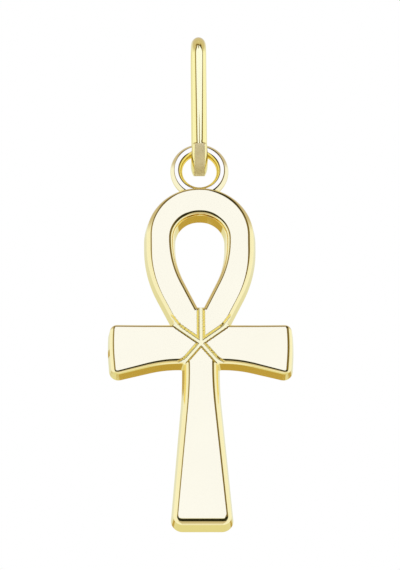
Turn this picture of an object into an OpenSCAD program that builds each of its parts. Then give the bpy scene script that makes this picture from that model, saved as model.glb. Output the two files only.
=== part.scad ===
// Ankh pendant: a bevelled cross with a tear-shaped loop and a soldered ring, hung in a wire bail.
// The origin is the inside top of the bail, where a chain lies. +Z is up and the face looks along -Y.
// Heights in the Ankh sections are counted from the crossing of the face grooves.

/* [Bail] */
// Outside height of the bail
bail_h = 9.7; // [8:0.1:14]
// Diameter of the bail's wire
bail_wire = 1.12; // [0.9:0.02:1.3]
// Room in front of and behind the ring's wire inside the bail
bail_play = 0.23; // [0.15:0.01:0.6]

/* [Ring] */
// Diameter of the ring's wire
ring_wire = 0.8; // [0.6:0.02:1]
// How much wider the ring's hole is than the bail's wire
ring_play = 1.16; // [0.7:0.02:2]
// Gap between the ring's wire and the bail's inner bottom, so that it swings
hang_clear = 0.05; // [0.03:0.01:0.2]
// How far the middle of the ring's wire is sunk below the top edge of the loop
ring_sink = 0.28; // [0.1:0.01:0.4]

/* [Ankh plate] */
// Thickness from the flat back to the face
plate_t = 1.4; // [1:0.05:2]
// Depth of the bevel round the face
bevel_d = 0.26; // [0.1:0.01:0.4]
// Depth of the small chamfer round the back, and its width at the loop's sides
back_chamfer = 0.1; // [0.05:0.01:0.2]
// Radius of the fillets in the four inner corners
notch_r = 0.1; // [0.05:0.01:0.3]

/* [Bevel widths] */
// Bevel width along the outer sides of the loop and the stem
rim_side = 0.35; // [0.1:0.01:0.5]
// Bevel width along the top of the loop and the long edges of the arms
rim_top = 0.2; // [0.08:0.01:0.3]
// Bevel width at the ends of the arms
rim_end = 0.24; // [0.1:0.01:0.4]
// Bevel width round the hole of the loop
rim_hole = 0.25; // [0.1:0.01:0.4]
// Bevel width along the edge of the foot
rim_foot = 0.34; // [0.1:0.01:0.5]
// Share of each bevel's width that the slant of the side walls takes up
wall_slant = 0.42; // [0.2:0.01:0.7]

/* [Loop] */
// Height of the loop's top edge
loop_rise = 11.17; // [9:0.01:15]
// Outside width of the loop
loop_w = 7.44; // [6:0.1:9]
// Slant of the loop's lower sides from upright, in degrees
loop_lean = 26.4; // [20:0.2:32]
// Radius of the bend between the upright and the slanted sides
loop_bend_r = 8; // [4:0.1:9]
// Width of the band at the sides
band_side = 2.08; // [1.5:0.02:2.4]
// Width of the band at the top
band_top = 2.16; // [1.5:0.02:2.6]
// Height of the hole's lowest point
hole_low = 2.66; // [2:0.02:3.4]
// Width of the hole's flat bottom
hole_low_w = 0.34; // [0.3:0.02:0.8]
// Slant of the hole's lower sides from upright, in degrees
hole_lean = 26; // [22:0.2:34]
// Radius of the bend in the hole's sides
hole_bend_r = 6.6; // [3:0.1:8]

/* [Arms] */
// Span over both arms, measured to the corner that the bow at each end rounds off
arm_span = 12.36; // [10:0.1:16]
// Height of the arms' upper edge where it leaves the loop
arm_up_root = 1.38; // [1.2:0.02:1.8]
// Height of the arms' upper edge at its waist
arm_up_waist = 1.38; // [1.1:0.02:1.8]
// Height of the arms' upper edge at the ends
arm_up_end = 1.4; // [1.2:0.02:2.4]
// Depth of the arms' lower edge beside the stem
arm_low_root = 1.5; // [1.2:0.02:1.8]
// Depth of the arms' lower edge at the ends
arm_low_end = 2.38; // [1.6:0.02:3]
// Distance from the middle at which the lower edge begins to slope
arm_bend_x = 2.45; // [2:0.1:4]
// How far the lower corner of an arm stands back from its end
arm_end_back = 0.15; // [0:0.02:0.5]
// How far the upper corner of an arm stands back from its end
arm_end_lean = 0.08; // [0:0.01:0.3]
// Radius of the corners at the ends of the arms
arm_corner_r = 0.62; // [0.4:0.01:0.7]
// Half width of the loop where it runs into the arms
loop_root = 1.88; // [1.7:0.02:2.4]

/* [Stem] */
// Depth of the stem's foot
stem_drop = 12.81; // [10:0.01:18]
// Width of the stem below the arms
stem_top_w = 2.5; // [2:0.02:3.4]
// Width of the stem at its foot
stem_foot_w = 4.24; // [3:0.1:6]
// Depth at which the stem begins to widen
stem_bend_z = 3; // [2.5:0.1:5]
// Radius of the corners of the foot
foot_corner_r = 0.76; // [0.45:0.01:0.9]

/* [Face grooves] */
// Width of the four slanted grooves at the face
groove_w = 0.47; // [0.3:0.01:0.6]
// Width of the upright groove below the hole, at the face
slot_w = 0.54; // [0.4:0.01:0.6]
// Depth of the grooves
groove_d = 0.16; // [0.1:0.01:0.3]
// Width of a groove's flat floor
groove_floor_w = 0.24; // [0.06:0.01:0.25]

/* [Hidden] */
gold = "khaki";

// Roundness of wires and rings
$fn = 64;
// Steps in a half-round cap, in a long shallow bend and in a small corner
cap_steps = 12;
bend_steps = 4;
corner_steps = 3;
// Radius of the shallow bends in the arms' and the stem's edges
arm_bend_r = 8;
arm_waist_r = 16;
arm_bow_r = 14;
stem_bend_r = 26;
// Height of the middle of the bow at an arm's end
arm_bow_z = -0.2;
// Half width of the short straight edge at the top of the loop and of its hole
cap_flat = 0.06;
// How much of the bevel's width is added to the inner corners' fillets at the face
notch_growth = 0.25;
// Radius of the corners at the hole's bottom
hole_corner_r = 0.06;
// How far cutters reach past the face that they cut
over = 0.5;
// Length of the slanted grooves in distances from the crossing to the inner corners
groove_reach = 1.15;

// Bail: a stadium in the YZ plane, measured on its wire's centre line
bail_bend_r = (ring_wire + bail_wire) / 2 + bail_play;
bail_top_z = -(bail_bend_r - bail_wire / 2);
bail_low_z = bail_wire - bail_h + bail_bend_r + bail_wire / 2;
bail_floor_z = bail_low_z - bail_bend_r + bail_wire / 2;

// Ring: its top wire lies just above the bail's inner bottom, on the swing axis
ring_r = (bail_wire + ring_play + ring_wire) / 2;
swing_z = bail_floor_z + hang_clear + ring_wire / 2;
ring_z = swing_z - ring_r;
loop_top_z = ring_z - ring_r + ring_sink;
cross_z = loop_top_z - loop_rise;

// Half widths of the loop's outside and of its hole, and the hole's top
loop_half = loop_w / 2;
hole_half = loop_half - band_side;
hole_top = loop_rise - band_top;

function unit(v) = v / norm(v);
function mirrored(points) = [for (i = [len(points) - 1:-1:0]) [-points[i].x, points[i].y]];

// Arc that rounds the corner at b between the edges from a and to c
function rounded(a, b, c, r, steps) =
    let (
        to_a = unit(a - b),
        to_c = unit(c - b),
        half = acos(min(1, max(-1, to_a * to_c))) / 2,
        centre = b + unit(to_a + to_c) * r / sin(half),
        from = b + to_a * r / tan(half) - centre,
        till = b + to_c * r / tan(half) - centre,
        turn = atan2(from.x * till.y - from.y * till.x, from * till)
    )
    [for (i = [0:steps])
        let (angle = turn * i / steps)
        centre + [
            from.x * cos(angle) - from.y * sin(angle),
            from.x * sin(angle) + from.y * cos(angle)
        ]];

// Closed outline from the corners of its right half, top to bottom: x, z, radius, steps
function outline(corners, top, low) =
    let (
        last = len(corners) - 1,
        place = [for (c = corners) [c[0], c[1]]],
        path = concat([[0, top]], place, [[0, low]]),
        right = [for (i = [0:last])
            each rounded(path[i], path[i + 1], path[i + 2], corners[i][2], corners[i][3])]
    )
    concat(right, mirrored(right));

// Outline of the plate, drawn in from the wall by a share of the bevel's widths
function plate_outline(share) =
    let (
        side = rim_side * share,
        top = rim_top * share,
        half = loop_half - side,
        rise = loop_rise - top,
        root_z = arm_up_root - top,
        root_x = loop_root - side,
        end_x = arm_span / 2 - rim_end * share,
        low_end_z = top - arm_low_end,
        low_root_z = top - arm_low_root,
        stem_half = stem_top_w / 2 - side,
        foot_half = stem_foot_w / 2 - side,
        foot_z = rim_foot * share - stem_drop,
        bend_z = root_z + (half - root_x) / tan(loop_lean)
    )
    outline([
        [half, rise, half - cap_flat, cap_steps],
        [half, bend_z, loop_bend_r - side, bend_steps],
        [root_x, root_z, notch_r + side * notch_growth, corner_steps],
        [(root_x + end_x) / 2, arm_up_waist - top, arm_waist_r, corner_steps],
        [end_x - arm_end_lean, arm_up_end - top, arm_corner_r - side, corner_steps],
        [end_x, arm_bow_z, arm_bow_r, corner_steps],
        [end_x - arm_end_back, low_end_z, arm_corner_r - side, corner_steps],
        [arm_bend_x, low_root_z, arm_bend_r, bend_steps],
        [stem_half, low_root_z, notch_r + side * notch_growth, corner_steps],
        [stem_half, -stem_bend_z, stem_bend_r, bend_steps],
        [foot_half, foot_z, foot_corner_r - side, corner_steps]
    ], rise, foot_z);

// Outline of the hole, widened from its wall by a share of the bevel's width
function hole_outline(share) =
    let (
        rim = rim_hole * share,
        half = hole_half + rim,
        rise = hole_top + rim,
        low = hole_low - rim,
        low_half = (hole_low_w + rim) / 2,
        bend_z = low + (half - low_half) / tan(hole_lean)
    )
    outline([
        [half, rise, half - cap_flat, cap_steps],
        [half, bend_z, hole_bend_r + rim, bend_steps],
        [low_half, low, hole_corner_r, corner_steps]
    ], rise, low);

// Points of a list of outlines, one after another, each at its place along Y
function placed(outlines, places) =
    [for (k = [0:len(outlines) - 1]) for (p = outlines[k]) [p.x, places[k], p.y]];

// Walls between outlines of equal length whose points start at first in a point list
function walls(first, count, layers) =
    [for (k = [0:layers - 2]) for (i = [0:count - 1])
        let (a = first + k * count + i, b = first + k * count + (i + 1) % count)
        each [[a, b + count, b], [a, a + count, b + count]]];

// Two triangles over four points
function quad(a, b, c, d) = [[a, b, c], [a, c, d]];

// Flat face between an outer and an inner outline: a strip round the loop down to the ends of
// its bends, and a fan round the middle of the cross for the rest
function flat_face(outer, outer_count, inner, inner_count, middle) =
    let (
        bend_end = cap_steps + bend_steps + 1,
        outer_left = outer + outer_count - 1,
        inner_left = inner + inner_count - 1,
        low = inner_count / 2 - 1
    )
    concat(
        quad(outer_left, outer, inner, inner_left),
        [for (i = [0:bend_end - 1])
            each concat(
                quad(outer + i, outer + i + 1, inner + i + 1, inner + i),
                quad(outer_left - i - 1, outer_left - i, inner_left - i, inner_left - i - 1)
            )],
        [for (i = [bend_end:low - 1])
            each [
                [outer + bend_end, inner + i + 1, inner + i],
                [outer_left - bend_end, inner_left - i, inner_left - i - 1]
            ]],
        [for (i = [bend_end:outer_count - bend_end - 2]) [outer + i, outer + i + 1, middle]],
        [
            [outer_left - bend_end, inner_left - low, middle],
            [inner_left - low, inner + low, middle],
            [inner + low, outer + bend_end, middle]
        ]
    );

function reversed(faces) = [for (f = faces) [for (i = [len(f) - 1:-1:0]) f[i]]];

// Bevelled plate with its hole and a flat back, its crossing at the origin
module plate() {
    face_y = -plate_t / 2;
    // Face, foot of the bevel, end of the slanted wall, flat back
    places = [face_y, face_y + bevel_d, -face_y - back_chamfer, -face_y];
    layers = len(places);
    shares = [1, wall_slant, 0];
    outer = concat(
        [for (share = shares) plate_outline(share)],
        [plate_outline(back_chamfer / rim_side)]
    );
    inner = concat(
        [for (share = shares) hole_outline(share)],
        [hole_outline(back_chamfer / rim_hole)]
    );
    outer_count = len(outer[0]);
    inner_count = len(inner[0]);
    inner_first = layers * outer_count;
    outer_last = (layers - 1) * outer_count;
    inner_last = inner_first + (layers - 1) * inner_count;
    middle = inner_first + layers * inner_count;
    polyhedron(
        points = concat(
            placed(outer, places),
            placed(inner, places),
            [[0, face_y, 0], [0, -face_y, 0]]
        ),
        faces = concat(
            walls(0, outer_count, layers),
            reversed(walls(inner_first, inner_count, layers)),
            flat_face(0, outer_count, inner_first, inner_count, middle),
            reversed(flat_face(outer_last, outer_count, inner_last, inner_count, middle + 1))
        )
    );
}

// Groove in the face from the crossing towards a point, with slanting sides and a flat floor
module groove(towards, width) {
    slant = (width - groove_floor_w) / 2 / groove_d;
    floor_half = groove_floor_w / 2;
    open_half = width / 2 + slant * over;
    translate([0, -plate_t / 2 + groove_d, 0])
        rotate([0, atan2(towards.x, towards.y), 0])
            linear_extrude(height = norm(towards))
                polygon([
                    [-floor_half, 0],
                    [-open_half, -groove_d - over],
                    [open_half, -groove_d - over],
                    [floor_half, 0]
                ]);
}

// The upright groove and the four slanted ones, which run out through the inner corners
module face_grooves() {
    groove([0, hole_low + over], slot_w);
    for (side = [-1, 1]) {
        groove([side * loop_root, arm_up_root] * groove_reach, groove_w);
        groove([side * stem_top_w / 2, -arm_low_root] * groove_reach, groove_w);
    }
}

// Ring in the plane of the cross
module ring() {
    translate([0, 0, ring_z])
        rotate([90, 0, 0])
            rotate_extrude()
                translate([ring_r, 0])
                    circle(d = ring_wire);
}

// Half turn of the bail's wire, bulging upwards
module bail_bend() {
    rotate([0, -90, 0])
        rotate([0, 0, -90])
            rotate_extrude(angle = 180)
                translate([bail_bend_r, 0])
                    circle(d = bail_wire);
}

module bail() {
    color(gold) {
        translate([0, 0, bail_top_z])
            bail_bend();
        translate([0, 0, bail_low_z])
            rotate([180, 0, 0])
                bail_bend();
        for (side = [-1, 1])
            translate([0, side * bail_bend_r, bail_low_z])
                cylinder(d = bail_wire, h = bail_top_z - bail_low_z);
    }
}

module ankh() {
    color(gold) {
        ring();
        translate([0, 0, cross_z])
            difference() {
                plate();
                face_grooves();
            }
    }
}

bail();
ankh();
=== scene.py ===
"""Ankh pendant in polished yellow gold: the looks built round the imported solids."""

import math

import bmesh
import bpy
from mathutils import Matrix, Vector


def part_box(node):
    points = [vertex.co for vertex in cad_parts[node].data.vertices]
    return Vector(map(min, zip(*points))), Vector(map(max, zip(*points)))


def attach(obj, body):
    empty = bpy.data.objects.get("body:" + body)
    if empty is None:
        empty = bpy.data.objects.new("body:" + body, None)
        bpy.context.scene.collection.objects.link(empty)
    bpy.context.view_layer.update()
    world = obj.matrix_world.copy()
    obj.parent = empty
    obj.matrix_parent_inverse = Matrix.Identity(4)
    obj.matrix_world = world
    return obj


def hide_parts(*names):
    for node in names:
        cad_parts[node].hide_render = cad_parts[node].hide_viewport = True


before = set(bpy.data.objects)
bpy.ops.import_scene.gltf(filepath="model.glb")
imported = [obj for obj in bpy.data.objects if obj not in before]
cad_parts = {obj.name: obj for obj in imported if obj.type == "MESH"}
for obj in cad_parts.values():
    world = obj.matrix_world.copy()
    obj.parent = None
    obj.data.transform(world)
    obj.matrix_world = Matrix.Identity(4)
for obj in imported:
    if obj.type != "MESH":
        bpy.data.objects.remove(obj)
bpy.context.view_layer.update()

bl_info = {
    "name": "Ankh pendant",
    "version": (1, 0, 0),
    "blender": (4, 5, 0),
    "location": "View3D > Sidebar > Pendant",
    "description": "Builds a gold ankh pendant that hangs from a wire bail",
    "category": "Add Mesh",
}

MM = 0.001
BAIL_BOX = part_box("bail")


# Sizes and colours that a user would change


def size(name, default, description):
    """A length in metres, given here in millimetres."""
    return bpy.props.FloatProperty(
        name=name,
        description=description,
        default=default * MM,
        min=0.0,
        unit="LENGTH",
        subtype="DISTANCE",
        precision=5,
    )


def tint(name, default, description):
    """A colour without transparency."""
    return bpy.props.FloatVectorProperty(
        name=name,
        description=description,
        default=default,
        min=0.0,
        max=1.0,
        size=3,
        subtype="COLOR",
    )


class PendantBailSizes(bpy.types.PropertyGroup):
    """Sizes of the bail's wire."""

    strand_w: size("Strand width", 0.99, "Width of the bail's wire on its long strands")
    turn_w: size("Turn width", 1.13, "Width of the wire round the bail's lower turn")
    facet_top_w: size("Facet width, top", 0.54, "Width of the front facet under the upper turn")
    facet_low_w: size("Facet width, bottom", 0.36, "Width of the front facet over the lower turn")
    facet_edge: size("Facet edge", 0.11, "Softness of the facet's left edge")
    turn_bulge: size("Turn bulge", 0.22, "How much fuller the lower turn was before it was filed")
    turn_drop: size("Turn drop", 0.14, "How much lower than plain wire the filed turn reaches")


class PendantAnkhSizes(bpy.types.PropertyGroup):
    """Roundings and tool marks of the cast ankh."""

    panel_edge_r: size("Panel edge radius", 0.44, "Rounding between a face panel and its bevel")
    rim_edge_r: size("Rim edge radius", 0.05, "Rounding between bevel and side wall")
    groove_lip_r: size("Groove lip radius", 0.05, "Rounding at the grooves' edges")
    groove_floor_r: size(
        "Groove floor radius", 0.09, "Rounding between a groove's floor and its sides"
    )
    groove_spread: size(
        "Groove spread", 0.3, "How far a slanted groove's upper edge spreads at its end"
    )
    ring_facet_w: size("Ring facet", 0.28, "Width of the flats on the ring's front and back")
    chatter: size("Graver chatter", 0.012, "How far the graver's steps move a groove's edge")


class PendantFinish(bpy.types.PropertyGroup):
    """Colours of the gold and of the studio."""

    gold: tint("Gold", (0.92, 0.77, 0.30), "Colour of the polished gold")
    ring: tint("Ring", (0.93, 0.80, 0.37), "Colour of the soldered ring's gold")
    wire: tint("Wire", (0.94, 0.80, 0.26), "Colour of the bail's gold")
    # The filed colour is darker and duller than the wire's: the band is filed rough, and its
    # darker tan is painted shade.
    filed: tint("Filed", (0.82, 0.69, 0.32), "Colour of the bail's filed turn")
    # The recess colour is a little darker and deeper than the polished gold: painted shade in the
    # cut grooves.
    shade: tint("Recess", (0.89, 0.74, 0.24), "Colour of the gold in cut grooves")
    floor: tint("Floor", (0.86, 0.86, 0.85), "Colour of the studio floor")


# Outlines of the plate


class Plate:
    """The plate's own sizes in millimetres, heights counted from the grooves' crossing. The leans
    of loop and hole are in radians; growth, slant, softness and reach are shares."""

    thick = 1.4
    bevel_d = 0.26
    back_chamfer = 0.1
    notch_r = 0.1
    notch_growth = 0.25
    rim_side = 0.35
    rim_top = 0.2
    rim_end = 0.24
    rim_hole = 0.25
    rim_foot = 0.34
    wall_slant = 0.42
    foot_softness = 1.7
    loop_rise = 11.17
    loop_half = 3.72
    loop_lean = math.radians(26.4)
    loop_bend_r = 8.0
    loop_root = 1.88
    hole_half = 1.64
    hole_top = 9.01
    hole_low = 2.66
    hole_low_w = 0.34
    hole_lean = math.radians(26.0)
    hole_bend_r = 6.6
    hole_corner_r = 0.06
    arm_half = 6.18
    arm_up_root = 1.38
    arm_up_waist = 1.38
    arm_up_end = 1.4
    arm_low_root = 1.5
    arm_low_end = 2.38
    arm_bend_x = 2.45
    arm_end_back = 0.15
    arm_end_lean = 0.08
    arm_corner_r = 0.62
    arm_bend_r = 8.0
    arm_waist_r = 16.0
    arm_bow_r = 14.0
    arm_bow_z = -0.2
    stem_drop = 12.81
    stem_top_half = 1.25
    stem_foot_half = 2.12
    stem_bend_z = 3.0
    stem_bend_r = 26.0
    foot_corner_r = 0.76
    cap_flat = 0.06
    groove_w = 0.47
    groove_d = 0.16
    groove_floor_w = 0.24
    groove_reach = 1.4
    slot_w = 0.54
    slot_overrun = 0.5
    ring_wire = 0.8
    ring_r = 1.54
    ring_sink = 0.28
    cross_z = -20.98


# Steps of the arcs in the outlines: the round cap of loop and hole, wide bends, corners
CAP_STEPS = 44
BEND_STEPS = 12
CORNER_STEPS = 8

# Steps of the arcs in the section of the plate's edge
PANEL_EDGE_STEPS = 10
RIM_EDGE_STEPS = 4
BACK_EDGE_STEPS = 2


def rounded(a, b, c, r, steps):
    """Arc that rounds the corner at b between the edges from a and to c."""
    to_a, to_c = (a - b).normalized(), (c - b).normalized()
    half = to_a.angle(to_c) / 2
    centre = b + (to_a + to_c).normalized() * (r / math.sin(half))
    start = b + to_a * (r / math.tan(half)) - centre
    till = b + to_c * (r / math.tan(half)) - centre
    turn = math.atan2(start.x * till.y - start.y * till.x, start.dot(till))
    return [centre + Matrix.Rotation(turn * i / steps, 2) @ start for i in range(steps + 1)]


def outline(corners, top, low):
    """Closed outline from the corners of its right half, top to bottom: x, z, radius, steps."""
    path = [Vector((0, top)), *(Vector(c[:2]) for c in corners), Vector((0, low))]
    right = []
    for i, (_, _, r, steps) in enumerate(corners):
        right += rounded(path[i], path[i + 1], path[i + 2], r, steps)
    return right + [Vector((-p.x, p.y)) for p in reversed(right)]


def inset(rim, share, softness=1.0):
    """Distance in from the wall: a share of the rim's width up to the panel's edge, and beyond
    it the same rounding for every rim."""
    beyond = max(0.0, share - 1) * Plate.rim_side
    return rim * min(share, 1) + beyond * softness


def plate_outline(share):
    """Outline of the plate, drawn in from the wall by a share of the bevel's widths."""
    p = Plate
    side, top = inset(p.rim_side, share), inset(p.rim_top, share)
    half, rise = p.loop_half - side, p.loop_rise - top
    root_x, root_z = p.loop_root - side, p.arm_up_root - top
    end_x = p.arm_half - inset(p.rim_end, share)
    low_end_z, low_root_z = top - p.arm_low_end, top - p.arm_low_root
    stem_half, foot_half = p.stem_top_half - side, p.stem_foot_half - side
    foot_z = inset(p.rim_foot, share, p.foot_softness) - p.stem_drop
    bend_z = root_z + (half - root_x) / math.tan(p.loop_lean)
    notch = p.notch_r + side * p.notch_growth
    corner = p.arm_corner_r - side
    corners = [
        (half, rise, half - p.cap_flat, CAP_STEPS),
        (half, bend_z, p.loop_bend_r - side, BEND_STEPS),
        (root_x, root_z, notch, CORNER_STEPS),
        ((root_x + end_x) / 2, p.arm_up_waist - top, p.arm_waist_r, CORNER_STEPS),
        (end_x - p.arm_end_lean, p.arm_up_end - top, corner, CORNER_STEPS),
        (end_x, p.arm_bow_z, p.arm_bow_r, CORNER_STEPS),
        (end_x - p.arm_end_back, low_end_z, corner, CORNER_STEPS),
        (p.arm_bend_x, low_root_z, p.arm_bend_r, BEND_STEPS),
        (stem_half, low_root_z, notch, CORNER_STEPS),
        (stem_half, -p.stem_bend_z, p.stem_bend_r, BEND_STEPS),
        (foot_half, foot_z, p.foot_corner_r - side, CORNER_STEPS),
    ]
    return outline(corners, rise, foot_z)


def hole_outline(share):
    """Outline of the loop's hole, widened from its wall by a share of the bevel's width."""
    p = Plate
    rim = inset(p.rim_hole, share)
    half, rise, low = p.hole_half + rim, p.hole_top + rim, p.hole_low - rim
    low_half = (p.hole_low_w + rim) / 2
    bend_z = low + (half - low_half) / math.tan(p.hole_lean)
    corners = [
        (half, rise, half - p.cap_flat, CAP_STEPS),
        (half, bend_z, p.hole_bend_r + rim, BEND_STEPS),
        (low_half, low, p.hole_corner_r, CORNER_STEPS),
    ]
    return outline(corners, rise, low)


def edge_section(panel_r, rim_r):
    """Rows from the panel out over the bevel, the wall and the back chamfer: share of the
    bevel's width, distance behind the face."""
    p = Plate
    w, d = p.rim_side, p.bevel_d
    inside = 3 * w
    panel, rim = Vector((w, 0)), Vector((p.wall_slant * w, d))
    back_wall = Vector((0, p.thick - p.back_chamfer))
    back_edge = Vector((p.back_chamfer, p.thick))
    rows = rounded(Vector((inside, 0)), panel, rim, panel_r, PANEL_EDGE_STEPS)
    rows += rounded(panel, rim, back_wall, rim_r, RIM_EDGE_STEPS)
    rows += rounded(rim, back_wall, back_edge, rim_r / 2, BACK_EDGE_STEPS)
    rows += rounded(back_wall, back_edge, Vector((inside, p.thick)), rim_r / 2, BACK_EDGE_STEPS)
    return [(v.x / w, v.y) for v in rows]


# Meshes in millimetres


def ramp(value, start, length):
    """Smooth step from 0 at start to 1 a length further."""
    t = max(0.0, min(1.0, (value - start) / length))
    return t * t * (3 - 2 * t)


def soft_min(a, b, k):
    """The smaller of two numbers, with a rounded change-over of width k."""
    h = max(0.0, min(1.0, 0.5 + 0.5 * (b - a) / k))
    return b * (1 - h) + a * h - k * h * (1 - h)


def tube_faces(rings, across):
    """Faces of a tube that closes on itself, made of rings of points with so many across."""
    faces = []
    for i in range(rings):
        for k in range(across):
            this_ring, next_ring = i * across, (i + 1) % rings * across
            beside = (k + 1) % across
            faces.append((this_ring + k, this_ring + beside, next_ring + beside, next_ring + k))
    return faces


# Steps round each turn of the bail, along each strand and round its wire
BAIL_TURN_STEPS = 96
BAIL_STRAND_STEPS = 90
BAIL_WIRE_STEPS = 112

# Where the filed band on the bail's lower turn begins and ends, counted from level at the front
# round below, and the length of its run-outs
BAND_START = math.radians(9)
BAND_END = math.radians(118)
BAND_RUN_OUT = math.radians(4)

# Rounding of the filed band's edges in millimetres, and how soft the facet's right edge is as a
# share of its left one
BAND_EDGE = 0.01
RIGHT_EDGE_SHARE = 0.3


def bail_path(bend_r, top_z, low_z):
    """Middle of the bail's wire, from the back over the top and once round its stadium in the YZ
    plane: y, z and the angle in which the stadium's outside lies."""
    turn, strand = BAIL_TURN_STEPS, BAIL_STRAND_STEPS
    path = []
    for i in range(turn):
        a = math.pi * i / turn
        path.append((bend_r * math.cos(a), top_z + bend_r * math.sin(a), a))
    for i in range(strand):
        path.append((-bend_r, top_z + (low_z - top_z) * i / strand, math.pi))
    for i in range(turn):
        a = math.pi * (1 + i / turn)
        path.append((bend_r * math.cos(a), low_z + bend_r * math.sin(a), a))
    for i in range(strand):
        path.append((bend_r, low_z + (top_z - low_z) * i / strand, 2 * math.pi))
    return path


def bail_mesh(low, high, strand_w, turn_w, facet_w, facet_edge, turn_bulge, turn_drop):
    """Points and faces of the bail's wire, in the box from low to high, and which of the faces
    lie on the filed band."""
    wire_r = (high.x - low.x) / 2
    bend_r = (high.y - low.y) / 2 - wire_r
    top_z = high.z - wire_r - bend_r
    low_z = low.z + wire_r + bend_r
    strand_r = strand_w / 2
    depth_top, depth_low = (wire_r * math.sqrt(1 - (w / strand_w) ** 2) for w in facet_w)
    path = bail_path(bend_r, top_z, low_z)
    verts, filed = [], []
    for y, z, a in path:
        down = max(0.0, -math.sin(a)) if z < low_z else 0.0
        fade = ramp(down, 0, 1)
        half_x = strand_r + (turn_w / 2 - strand_r) * fade
        band = ramp(a - math.pi, BAND_START, BAND_RUN_OUT)
        band *= 1 - ramp(a - math.pi, BAND_END, BAND_RUN_OUT)
        filed_r = wire_r + turn_drop * fade * band
        outer = filed_r + turn_bulge * band
        for k in range(BAIL_WIRE_STEPS):
            b = 2 * math.pi * k / BAIL_WIRE_STEPS
            x = half_x * math.sin(b)
            # The wire is fuller on the outside of the lower turn, and the file took that down
            n = math.cos(b) * (outer if math.cos(b) > 0 else wire_r)
            filed.append(band > 0.5 and n > filed_r)
            n = soft_min(n, filed_r, BAND_EDGE)
            py, pz = y + n * math.cos(a), z + n * math.sin(a)
            # The facet cuts the wire's front off at a plane, which leans a little
            share = (top_z - pz) / (top_z - low_z)
            facet = bend_r + depth_top + (depth_low - depth_top) * share
            edge = facet_edge * (1.0 if x < 0 else RIGHT_EDGE_SHARE)
            py -= (py + soft_min(-py, facet, edge)) * (1 - band)
            verts.append((x, py, pz))
    faces = tube_faces(len(path), BAIL_WIRE_STEPS)
    return verts, faces, [all(filed[v] for v in face) for face in faces]


def plate_mesh(panel_r, rim_r):
    """Points and faces of the bevelled plate with its hole, the crossing at the origin."""
    rows = edge_section(panel_r, rim_r)
    face_y = -Plate.thick / 2
    outer = [[(p.x, face_y + y, p.y) for p in plate_outline(s)] for s, y in rows]
    inner = [[(p.x, face_y + y, p.y) for p in hole_outline(s)] for s, y in rows]
    n, m = len(outer[0]), len(inner[0])
    verts = [v for ring in outer + inner for v in ring]
    first = len(outer) * n
    faces = []
    for k in range(len(rows) - 1):
        for i in range(n):
            a, b = k * n + i, k * n + (i + 1) % n
            faces.append((a, b, b + n, a + n))
        for i in range(m):
            a, b = first + k * m + i, first + k * m + (i + 1) % m
            faces.append((a, a + m, b + m, b))
    last = len(rows) - 1
    faces += flat_face(0, n, first, m, False)
    faces += flat_face(last * n, n, first + last * m, m, True)
    return verts, faces


def flat_face(outer, n, inner, m, back):
    """The flat face between an outer outline of n points and an inner one of m points, each
    given by its first point: quads round the loop, and one polygon for the rest."""
    bend_end = CAP_STEPS + BEND_STEPS + 1
    outer_left, inner_left = outer + n - 1, inner + m - 1
    faces = [(outer, inner, inner_left, outer_left)]
    for i in range(bend_end):
        faces.append((outer + i, outer + i + 1, inner + i + 1, inner + i))
        faces.append((outer_left - i, inner_left - i, inner_left - i - 1, outer_left - i - 1))
    low = m // 2 - 1
    rest = [outer + i for i in range(bend_end, n - bend_end)]
    rest += [inner_left - i for i in range(bend_end, low + 1)]
    rest += [inner + i for i in range(low, bend_end - 1, -1)]
    faces.append(tuple(rest))
    return faces if back else [tuple(reversed(f)) for f in faces]


# Steps along a groove and round each of its edges, and how far its cutter reaches on past the
# lips and up out of the face, in millimetres
GROOVE_STEPS = 36
GROOVE_EDGE_STEPS = 5
CUTTER_TAIL = 0.12
CUTTER_RISE = 0.5

# Where the upper lip of a slanted groove begins to spread, and over what length it does, as
# shares of the groove
SPREAD_START = 0.51
SPREAD_LENGTH = 0.41

# The graver's steps are two waves along a groove, in radians a step: how strong the second is,
# how far the left lip moves against the right one, and the shift from one groove to the next
FIRST_WAVE = 2.4
SECOND_WAVE = 4.1
SECOND_WAVE_SHARE = 0.6
LEFT_LIP_SHARE = 0.7
WAVE_SHIFT = 1.7

# How near to a groove's floor a point of its section counts as on it, in millimetres
ON_FLOOR = 1e-6


def groove_runs():
    """End point and width of the five grooves: up into the hole, and towards the four inner
    corners between loop, arms and stem."""
    p = Plate
    runs = [((0, p.hole_low + p.slot_overrun), p.slot_w)]
    for side in (-1, 1):
        for x, z in ((p.loop_root, p.arm_up_root), (p.stem_top_half, -p.arm_low_root)):
            reach = p.groove_reach
            runs.append(((side * x * reach, z * reach), p.groove_w))
    return runs


def groove_section(width, lip_r, floor_r):
    """Section of a groove's cutter: how far right of its middle, how far behind the face."""
    p = Plate
    floor_half, half = p.groove_floor_w / 2, width / 2
    floor, lip = Vector((floor_half, p.groove_d)), Vector((half, 0))
    far = Vector((half + 1, 0))
    middle = Vector((0, p.groove_d))
    arc = rounded(floor, lip, far, lip_r, GROOVE_EDGE_STEPS)[:-1]
    tail = arc[-1] + (arc[-1] - arc[-2]).normalized() * CUTTER_TAIL
    right = [*rounded(middle, floor, lip, floor_r, GROOVE_EDGE_STEPS), *arc, tail]
    right.append(Vector((tail.x, -CUTTER_RISE)))
    return right + [Vector((-v.x, v.y)) for v in reversed(right)]


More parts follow.
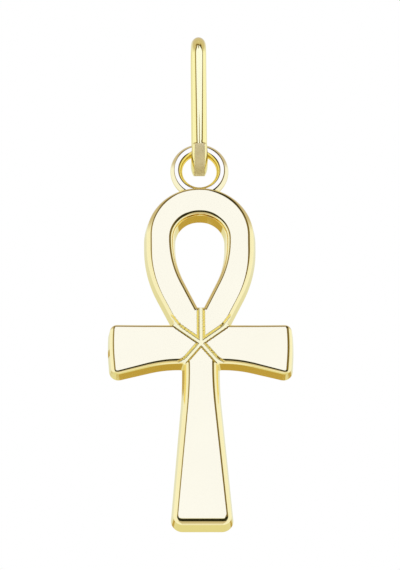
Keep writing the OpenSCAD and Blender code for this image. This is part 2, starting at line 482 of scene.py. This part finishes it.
def groove_cutter(towards, width, lip_r, floor_r, chatter, spread, shift):
    """Cutter for one groove from the crossing towards a point. Its lips are rounded, and the
    upper lip of a slanted groove spreads towards the groove's end."""
    p = Plate
    section = groove_section(width, lip_r, floor_r)
    length = math.hypot(*towards)
    along = Vector((towards[0], 0, towards[1])) / length
    across = Vector((along.z, 0, -along.x))
    upper = -math.copysign(1, towards[0]) if towards[0] else 0
    verts, faces = [], []
    for i in range(GROOVE_STEPS + 1):
        t = i / GROOVE_STEPS
        wave = math.sin(i * FIRST_WAVE + shift)
        wave += SECOND_WAVE_SHARE * math.sin(i * SECOND_WAVE + 2 * shift)
        for v in section:
            x = v.x
            if v.y < p.groove_d - ON_FLOOR:
                x += chatter * wave * (1 if v.x > 0 else -LEFT_LIP_SHARE)
                if v.x * upper > 0:
                    x += spread * upper * ramp(t, SPREAD_START, SPREAD_LENGTH)
            verts.append(along * (length * t) + across * x + Vector((0, v.y - p.thick / 2, 0)))
    count = len(section)
    for i in range(GROOVE_STEPS):
        for k in range(count):
            a, b = i * count + k, i * count + (k + 1) % count
            faces.append((a, a + count, b + count, b))
    faces.append(tuple(range(count)))
    faces.append(tuple(reversed(range(GROOVE_STEPS * count, (GROOVE_STEPS + 1) * count))))
    return verts, faces


# Steps round the ring and round its wire, and the rounding of its flats' edges in millimetres
RING_STEPS = 160
RING_WIRE_STEPS = 96
RING_FLAT_EDGE = 0.02


def ring_mesh(radius, wire_r, facet_w):
    """Points and faces of the ring, its wire filed flat in front and behind."""
    verts = []
    flat = math.sqrt(wire_r**2 - (facet_w / 2) ** 2)
    for i in range(RING_STEPS):
        a = 2 * math.pi * i / RING_STEPS
        for k in range(RING_WIRE_STEPS):
            b = 2 * math.pi * k / RING_WIRE_STEPS
            r = radius + wire_r * math.cos(b)
            y = wire_r * math.sin(b)
            y = math.copysign(soft_min(abs(y), flat, RING_FLAT_EDGE), y)
            verts.append((r * math.cos(a), y, r * math.sin(a)))
    return verts, tube_faces(RING_STEPS, RING_WIRE_STEPS)


# Objects


def new_mesh_object(name, verts, faces, materials, unit=MM):
    """A mesh object from points that are in millimetres, or in another unit."""
    mesh = bpy.data.meshes.new(name)
    mesh.from_pydata([Vector(v) * unit for v in verts], [], faces)
    for material in materials:
        mesh.materials.append(material)
    obj = bpy.data.objects.new(name, mesh)
    bpy.context.scene.collection.objects.link(obj)
    return obj


def outward(obj):
    """Turns all faces outwards."""
    bm = bmesh.new()
    bm.from_mesh(obj.data)
    bmesh.ops.recalc_face_normals(bm, faces=bm.faces)
    bm.to_mesh(obj.data)
    bm.free()


def boolean(obj, other, operation):
    """Adds or cuts another closed mesh, which is then removed."""
    modifier = obj.modifiers.new("cut", "BOOLEAN")
    modifier.operation = operation
    modifier.solver = "EXACT"
    modifier.object = other
    modifier.material_mode = "TRANSFER"
    apply_modifiers(obj)
    bpy.data.objects.remove(other)


def apply_modifiers(obj):
    """Gives an object the mesh that its modifiers make, and clears them."""
    depsgraph = bpy.context.evaluated_depsgraph_get()
    mesh = bpy.data.meshes.new_from_object(obj.evaluated_get(depsgraph))
    old = obj.data
    obj.modifiers.clear()
    obj.data = mesh
    mesh.name = obj.name
    bpy.data.meshes.remove(old)


def smooth(obj, angle):
    """Smooth shading where faces meet within an angle in degrees, each face weighed by its area
    so that flat ones stay flat."""
    mesh = obj.data
    mesh.shade_smooth()
    limit = math.cos(math.radians(angle))
    around = [[] for _ in mesh.vertices]
    weighed = []
    for face in mesh.polygons:
        weighed.append((face.normal.copy(), face.normal * face.area))
        for v in face.vertices:
            around[v].append(face.index)
    normals = []
    for face in mesh.polygons:
        for v in face.vertices:
            near = (weighed[k] for k in around[v])
            total = sum((w for n, w in near if n.dot(face.normal) > limit), Vector())
            normals.append(total.normalized())
    mesh.normals_split_custom_set(normals)


# Materials


class Value:
    """A socket's value in an expression: its operators add Math nodes."""

    def __init__(self, shader, socket):
        self.shader = shader
        self.socket = socket

    def beside(self, name):
        """Another output of the same node."""
        return Value(self.shader, self.socket.node.outputs[name])

    def _math(self, operation, a, b):
        return self.shader.node("ShaderNodeMath", {"operation": operation}, {0: a, 1: b})

    def __add__(self, other):
        return self._math("ADD", self, other)

    __radd__ = __add__

    def __sub__(self, other):
        return self._math("SUBTRACT", self, other)

    def __rsub__(self, other):
        return self._math("SUBTRACT", other, self)

    def __mul__(self, other):
        return self._math("MULTIPLY", self, other)

    __rmul__ = __mul__


class Shader:
    """The node tree of one material or world."""

    def __init__(self, owner):
        owner.use_nodes = True
        self.owner = owner
        self.tree = owner.node_tree
        self.tree.nodes.clear()

    def node(self, kind, settings, values, output=0):
        """Adds a node: its settings first, then the values or links of its sockets."""
        made = self.tree.nodes.new(kind)
        for key, value in settings.items():
            setattr(made, key, value)
        for key, value in values.items():
            if isinstance(value, Value):
                self.tree.links.new(value.socket, made.inputs[key])
            else:
                made.inputs[key].default_value = value
        return Value(self, made.outputs[output]) if made.outputs else None

    def noise(self, place, scale, detail):
        """Noise of so many waves a metre, or a unit of the place."""
        values = {"Vector": place, "Scale": scale, "Detail": detail}
        return self.node("ShaderNodeTexNoise", {}, values)

    def mix(self, share, a, b):
        """Colour between a and b. Its colour sockets go by number, because others share their
        names."""
        values = {"Factor": share, 6: a, 7: b}
        return self.node("ShaderNodeMix", {"data_type": "RGBA"}, values, 2)

    def end(self, kind, shader):
        """Links the finished shader to an output node of that kind."""
        self.node(kind, {}, {"Surface": shader})
        return self.owner


def shades(colour, tone):
    """A colour a little darker and a little lighter, by a share of it."""
    return [tuple(min(1.0, c * (1 + by)) for c in colour) + (1.0,) for by in (-tone, tone)]


# Waves a metre of the gold's colour drift, pits and soft waves, and of its polishing hairlines,
# which are long up and down and lean by an angle in radians
DRIFT_SCALE = 260.0
PIT_SCALE = 5200.0
WAVE_SCALE = 420.0
HAIR_SCALE = (9000.0, 9000.0, 700.0)
HAIR_LEAN = 0.6

# Roughness between the hairlines and what they add to it, as shares; how much higher the soft
# waves are than the hairlines; and the height of a full bump in metres
ROUGH_BASE = 0.7
ROUGH_HAIR = 0.6
WAVE_HEIGHT = 6
BUMP_HEIGHT = 0.01 * MM


def gold_material(name, colour, tone, rough, scratch, grain, metal=1.0):
    """Yellow gold with colour drift by a share called tone, and with polishing hairlines and soft
    waves (scratch) and pits (grain), both as shares of the full bump."""
    s = Shader(bpy.data.materials.new(name))
    place = s.node("ShaderNodeTexCoord", {}, {}, "Object")
    drift = s.noise(place, DRIFT_SCALE, detail=3.0)
    hair_values = {"Vector": place, "Scale": HAIR_SCALE, "Rotation": (0.0, HAIR_LEAN, 0.0)}
    hair = s.noise(s.node("ShaderNodeMapping", {}, hair_values), 1.0, detail=2.0)
    pits = s.noise(place, PIT_SCALE, detail=2.0)
    wave = s.noise(place, WAVE_SCALE, detail=1.0)
    deep, light = shades(colour, tone)
    colour_mix = s.mix(drift, deep, light)
    roughness = rough * ROUGH_BASE + hair * (rough * ROUGH_HAIR)
    height = hair * scratch + pits * grain + wave * (scratch * WAVE_HEIGHT)
    bump_values = {"Height": height, "Strength": 1.0, "Distance": BUMP_HEIGHT}
    bump = s.node("ShaderNodeBump", {}, bump_values)
    bsdf = s.node(
        "ShaderNodeBsdfPrincipled",
        {},
        {
            "Base Color": colour_mix,
            "Metallic": metal,
            "Roughness": roughness,
            "Normal": bump,
        },
    )
    return s.end("ShaderNodeOutputMaterial", bsdf)


# The pendant's pieces


class PENDANT_OT_bail(bpy.types.Operator):
    """Builds the closed wire bail with its filed front facet and its filed lower turn"""

    bl_idname = "pendant.bail"
    bl_label = "Bail"

    def execute(self, context):
        sizes = context.scene.pendant_bail
        finish = context.scene.pendant_finish
        low, high = BAIL_BOX
        gold = gold_material(
            "gold_wire", finish.wire, tone=0.03, rough=0.09, scratch=0.05, grain=0.02
        )
        # The filed band is rougher and less metallic, and its darker, duller tan colour is
        # painted shade on the bail's lower turn.
        filed = gold_material(
            "gold_filed_shaded", finish.filed, tone=0.06, rough=0.55, scratch=0.05, grain=0.01, metal=0.4
        )
        verts, faces, on_band = bail_mesh(
            low / MM,
            high / MM,
            sizes.strand_w / MM,
            sizes.turn_w / MM,
            (sizes.facet_top_w / MM, sizes.facet_low_w / MM),
            sizes.facet_edge / MM,
            sizes.turn_bulge / MM,
            sizes.turn_drop / MM,
        )
        bail = new_mesh_object("bail_wire", verts, faces, [gold, filed])
        for face in bail.data.polygons:
            face.material_index = int(on_band[face.index])
        outward(bail)
        bail.data.shade_smooth()
        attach(bail, "bail")
        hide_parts("bail")
        return {"FINISHED"}


# Faces of the ankh that meet at less than this angle in degrees are shaded smooth
SMOOTH_ANGLE = 40


class PENDANT_OT_ankh(bpy.types.Operator):
    """Builds the cast ankh with its soldered ring, bevels and cut grooves"""

    bl_idname = "pendant.ankh"
    bl_label = "Ankh"

    def execute(self, context):
        sizes = context.scene.pendant_ankh
        finish = context.scene.pendant_finish
        polished = gold_material(
            "gold_polished", finish.gold, tone=0.02, rough=0.06, scratch=0.02, grain=0.004
        )
        # The grooves' gold is rougher and bumpier from the graver, and a little darker and deeper
        # in colour: painted shade in the recesses.
        cut = gold_material(
            "gold_graved_shaded", finish.shade, tone=0.08, rough=0.10, scratch=0.2, grain=0.15
        )
        ring_gold = gold_material(
            "gold_ring", finish.ring, tone=0.02, rough=0.06, scratch=0.02, grain=0.004
        )
        verts, faces = plate_mesh(sizes.panel_edge_r / MM, sizes.rim_edge_r / MM)
        ankh = new_mesh_object("ankh_body", verts, faces, [polished])
        outward(ankh)
        for i, (towards, width) in enumerate(groove_runs()):
            verts, faces = groove_cutter(
                towards,
                width,
                sizes.groove_lip_r / MM,
                sizes.groove_floor_r / MM,
                sizes.chatter / MM,
                sizes.groove_spread / MM,
                WAVE_SHIFT * i,
            )
            cutter = new_mesh_object("groove", verts, faces, [cut])
            outward(cutter)
            boolean(ankh, cutter, "DIFFERENCE")
        p = Plate
        verts, faces = ring_mesh(p.ring_r, p.ring_wire / 2, sizes.ring_facet_w / MM)
        rise = p.loop_rise - p.ring_sink + p.ring_r
        verts = [(x, y, z + rise) for x, y, z in verts]
        ring = new_mesh_object("ring", verts, faces, [ring_gold])
        outward(ring)
        boolean(ankh, ring, "UNION")
        ankh.data.transform(Matrix.Translation((0, 0, p.cross_z * MM)))
        smooth(ankh, SMOOTH_ANGLE)
        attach(ankh, "pendant")
        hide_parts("ankh")
        return {"FINISHED"}


# The studio


class PENDANT_OT_stage(bpy.types.Operator):
    """Sets up the light tent, the pale floor, the brown card and the camera"""

    bl_idname = "pendant.stage"
    bl_label = "Stage"

    def execute(self, context):
        finish = context.scene.pendant_finish
        scene = context.scene
        scene.view_settings.view_transform = "Standard"
        scene.world = studio_world()
        add_floor(finish.floor)
        add_card()
        add_camera()
        return {"FINISHED"}


# Light of the tent all round, and its zones, each laid over the ones before it: lowest and
# highest azimuth and elevation in degrees, softness of the edges in degrees, light. Azimuth 0 is
# the front; the polished face reflects the last zone.
TENT_LIGHT = (1.03, 1.12, 1.62)
TENT_ZONES = (
    (-180, -135, -62, 32, 8, (0.83, 0.85, 0.72)),
    (135, 180, -62, 32, 8, (0.83, 0.85, 0.72)),
    (-180, 180, 32, 91, 8, (0.66, 0.62, 0.66)),
    (-60, 60, -84, -33, 6, (0.66, 0.62, 0.66)),
    (-70, 70, 50, 68, 3, (0.26, 0.19, 0.09)),
    (-30, 42, -34, 1, 2, (0.03, 0.03, 0.02)),
    (9, 42, -34, 62, 1.5, (0.03, 0.03, 0.02)),
    (9, 42, 7, 33, 3, (0.22, 0.17, 0.06)),
    (-38, -16, 1, 62, 1.5, (0.16, 0.12, 0.05)),
    (-38, -16, -34, 5, 1.5, (0.03, 0.03, 0.02)),
    (-38, -16, 10, 30, 3, (0.34, 0.28, 0.14)),
    (-15, 8, 4, 50, 1.5, (1.06, 1.23, 2.75)),
)


def studio_world():
    """A light tent of soft panels and dark flags, for reflections only: the camera and matt
    surfaces get plain white."""
    s = Shader(bpy.data.worlds.new("studio"))
    place = s.node("ShaderNodeTexCoord", {}, {}, "Generated")
    x = s.node("ShaderNodeSeparateXYZ", {}, {0: place}, "X")
    y, z = x.beside("Y"), x.beside("Z")
    degree = 180 / math.pi
    azimuth = s.node("ShaderNodeMath", {"operation": "ARCTAN2"}, {0: x, 1: 0 - y}) * degree
    elevation = s.node("ShaderNodeMath", {"operation": "ARCSINE"}, {0: z}) * degree

    def rise(value, edge, soft):
        """Smooth step across an edge."""
        return s.node(
            "ShaderNodeMapRange",
            {"interpolation_type": "SMOOTHSTEP"},
            {"Value": value, "From Min": edge - soft, "From Max": edge + soft},
        )

    light = TENT_LIGHT + (1.0,)
    for az_low, az_high, el_low, el_high, soft, colour in TENT_ZONES:
        mask = rise(elevation, el_low, soft) * (1 - rise(elevation, el_high, soft))
        if az_low > -180:
            mask = mask * rise(azimuth, az_low, soft)
        if az_high < 180:
            mask = mask * (1 - rise(azimuth, az_high, soft))
        light = s.mix(mask, light, colour + (1.0,))
    seen = s.node("ShaderNodeLightPath", {}, {}, "Is Camera Ray")
    plain = seen + seen.beside("Is Diffuse Ray")
    light = s.mix(plain, light, (1.0, 1.0, 1.0, 1.0))
    back = s.node("ShaderNodeBackground", {}, {"Color": light})
    return s.end("ShaderNodeOutputWorld", back)


# The floor: half its width and its height in metres, waves a metre of its paper's grain, how
# much the grain lightens and darkens it, and its roughness
FLOOR_HALF = 2.5
FLOOR_Z = -0.25
FLOOR_GRAIN = 90.0
FLOOR_TONE = 0.02
FLOOR_ROUGH = 0.9


def add_floor(colour):
    """Pale paper floor, which the gold doesn't reflect."""
    s = Shader(bpy.data.materials.new("floor_paper"))
    place = s.node("ShaderNodeTexCoord", {}, {}, "Object")
    grain = s.noise(place, FLOOR_GRAIN, detail=4.0)
    deep, light = shades(colour, FLOOR_TONE)
    values = {"Base Color": s.mix(grain, deep, light), "Roughness": FLOOR_ROUGH}
    bsdf = s.node("ShaderNodeBsdfPrincipled", {}, values)
    material = s.end("ShaderNodeOutputMaterial", bsdf)
    half = FLOOR_HALF
    corners = ((-half, -half), (half, -half), (half, half), (-half, half))
    verts = [(x, y, FLOOR_Z) for x, y in corners]
    floor = new_mesh_object("floor", verts, [(0, 1, 2, 3)], [material], unit=1.0)
    floor.visible_glossy = False


# Brown card behind the pendant, in millimetres: its light, its distance, the middle of its rings,
# the parts of rings that it is made of (first and last angle in degrees, inner and outer radius),
# the steps of each part, and one small plain piece (left, low, right and high edge).
CARD_LIGHT = (0.55, 0.41, 0.115)
CARD_Y = 100.0
CARD_MIDDLE = (-1.5, -25.0)
CARD_RINGS = ((-200, -118, 51.3, 60.5), (-118, -58, 46.5, 60.5), (-58, 20, 51.3, 60.5))
CARD_STEPS = 16
CARD_PIECE = (-35.0, 14.9, -27.3, 16.3)


def add_card():
    """Brown card behind the pendant, which is seen by its reflections in the gold only."""
    s = Shader(bpy.data.materials.new("shade_card"))
    glow = s.node("ShaderNodeEmission", {}, {"Color": CARD_LIGHT + (1.0,)})
    material = s.end("ShaderNodeOutputMaterial", glow)
    left, low, right, high = CARD_PIECE
    points = [(left, low), (right, low), (right, high), (left, high)]
    faces = [(0, 1, 2, 3)]
    for start, end, inner, outer in CARD_RINGS:
        for i in range(CARD_STEPS + 1):
            angle = math.radians(start + (end - start) * i / CARD_STEPS)
            k = len(points)
            for r in (inner, outer):
                x, z = CARD_MIDDLE
                points.append((x + r * math.cos(angle), z + r * math.sin(angle)))
            if i:
                faces.append((k - 2, k - 1, k + 1, k))
    verts = [(x, CARD_Y, z) for x, z in points]
    card = new_mesh_object("shade_card", verts, faces, [material])
    card.visible_camera = card.visible_diffuse = card.visible_shadow = False


# The camera: azimuth, elevation and roll in degrees, distance in metres, a point on the pendant
# and the pixel where it shows, the image's middle in pixels, the size of a pixel at the pendant,
# the sensor in millimetres, and how near and how far it sees in metres
CAMERA_ANGLES = (-1.5, -21.0, -0.5)
CAMERA_DISTANCE = 0.4
CAMERA_POINT = (0, 0, -0.013)
CAMERA_PIXEL = (199.9, 233.79)
IMAGE_MIDDLE = (200, 285)
PIXEL_SIZE = 0.0667 * MM
SENSOR = 36.0
CAMERA_SIGHT = (0.01, 20.0)


def add_camera():
    """Camera below and a little left of the pendant's face."""
    azimuth, elevation, roll = (math.radians(x) for x in CAMERA_ANGLES)
    back = Vector(
        (
            math.sin(azimuth) * math.cos(elevation),
            -math.cos(azimuth) * math.cos(elevation),
            math.sin(elevation),
        )
    )
    right = Vector((math.cos(azimuth), math.sin(azimuth), 0))
    up = back.cross(right)
    px, py = (middle - at for middle, at in zip(IMAGE_MIDDLE, CAMERA_PIXEL))
    u = px * math.cos(roll) + py * math.sin(roll)
    v = px * math.sin(roll) - py * math.cos(roll)
    target = Vector(CAMERA_POINT) + right * (u * PIXEL_SIZE) + up * (v * PIXEL_SIZE)
    data = bpy.data.cameras.new("camera")
    data.sensor_width = SENSOR
    data.lens = SENSOR / 2 / (IMAGE_MIDDLE[1] * PIXEL_SIZE / CAMERA_DISTANCE)
    data.clip_start, data.clip_end = CAMERA_SIGHT
    camera = bpy.data.objects.new("camera", data)
    bpy.context.scene.collection.objects.link(camera)
    turn = Matrix((right, up, back)).transposed() @ Matrix.Rotation(roll, 3, "Z")
    place = target + back * CAMERA_DISTANCE
    camera.matrix_world = Matrix.Translation(place) @ turn.to_4x4()
    bpy.context.scene.camera = camera


# The sidebar panel, and the steps of the build


class PENDANT_PT_panel(bpy.types.Panel):
    """The pendant's pieces, sizes and colours"""

    bl_idname = "PENDANT_PT_panel"
    bl_label = "Ankh pendant"
    bl_space_type = "VIEW_3D"
    bl_region_type = "UI"
    bl_category = "Pendant"

    def draw(self, context):
        scene = context.scene
        for group, operator in (
            (scene.pendant_bail, PENDANT_OT_bail),
            (scene.pendant_ankh, PENDANT_OT_ankh),
            (scene.pendant_finish, PENDANT_OT_stage),
        ):
            box = self.layout.box()
            box.operator(operator.bl_idname)
            for name in group.__annotations__:
                box.prop(group, name)


CLASSES = (
    PendantBailSizes,
    PendantAnkhSizes,
    PendantFinish,
    PENDANT_OT_bail,
    PENDANT_OT_ankh,
    PENDANT_OT_stage,
    PENDANT_PT_panel,
)


def register():
    """Registers the classes and gives the scene the groups of sizes and colours."""
    for cls in CLASSES:
        bpy.utils.register_class(cls)
    scene = bpy.types.Scene
    scene.pendant_bail = bpy.props.PointerProperty(type=PendantBailSizes)
    scene.pendant_ankh = bpy.props.PointerProperty(type=PendantAnkhSizes)
    scene.pendant_finish = bpy.props.PointerProperty(type=PendantFinish)


def unregister():
    """Takes back what register does."""
    for name in ("pendant_bail", "pendant_ankh", "pendant_finish"):
        delattr(bpy.types.Scene, name)
    for cls in reversed(CLASSES):
        bpy.utils.unregister_class(cls)


def main():
    """Builds the pieces and the stage."""
    register()
    bpy.ops.pendant.bail()
    bpy.ops.pendant.ankh()
    bpy.ops.pendant.stage()


if __name__ == "__main__":
    main()
